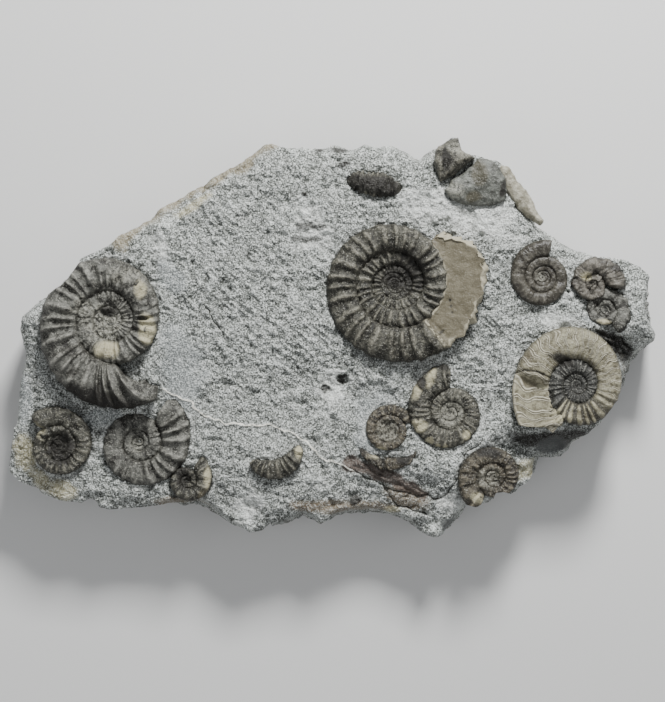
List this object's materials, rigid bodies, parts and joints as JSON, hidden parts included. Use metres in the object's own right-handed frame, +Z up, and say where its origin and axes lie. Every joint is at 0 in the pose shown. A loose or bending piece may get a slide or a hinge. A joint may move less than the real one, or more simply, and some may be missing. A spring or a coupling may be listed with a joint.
{
  "type": "ammonite fossil cluster",
  "caption": "Irregular slab of grey limestone lying on its back, with coiled ribbed ammonite shells, dark brown and cream, set in its upper face.",
  "frame": {"origin": "on the surface that the slab lies on, below the middle of its bounding box", "axes": "+Z up, out of the face with the fossils; +X along the slab's length, towards the end with the cream shell; +Y across it, towards the edge with the pointed peak"},
  "size_m": [0.1818, 0.1124, 0.0301],
  "materials": {
    "grey_limestone": "matt, rough",
    "dark_shell": "satin",
    "grey_shell": "satin",
    "cream_shell": "satin"
  },
  "bodies": {
    "root": {"rock": "grey_limestone", "centre_large_ammonite": "dark_shell", "left_large_ammonite": "dark_shell", "lower_left_middle_ammonite": "dark_shell", "lower_left_small_ammonite": "dark_shell", "lower_left_edge_ammonite": "dark_shell", "centre_right_ammonite": "dark_shell", "centre_small_ammonite": "dark_shell", "centre_small_outer_whorl": "dark_shell", "bottom_crescent_whorl": "dark_shell", "upper_right_ammonite": "dark_shell", "far_right_upper_ammonite": "dark_shell", "far_right_lower_ammonite": "dark_shell", "lower_right_ammonite": "dark_shell", "top_ribbed_fragment": "dark_shell", "edge_on_ammonite": "dark_shell", "top_smooth_whorl": "grey_shell", "right_cream_ammonite": "cream_shell", "top_shell_strip": "cream_shell"}
  },
  "joints": []
}
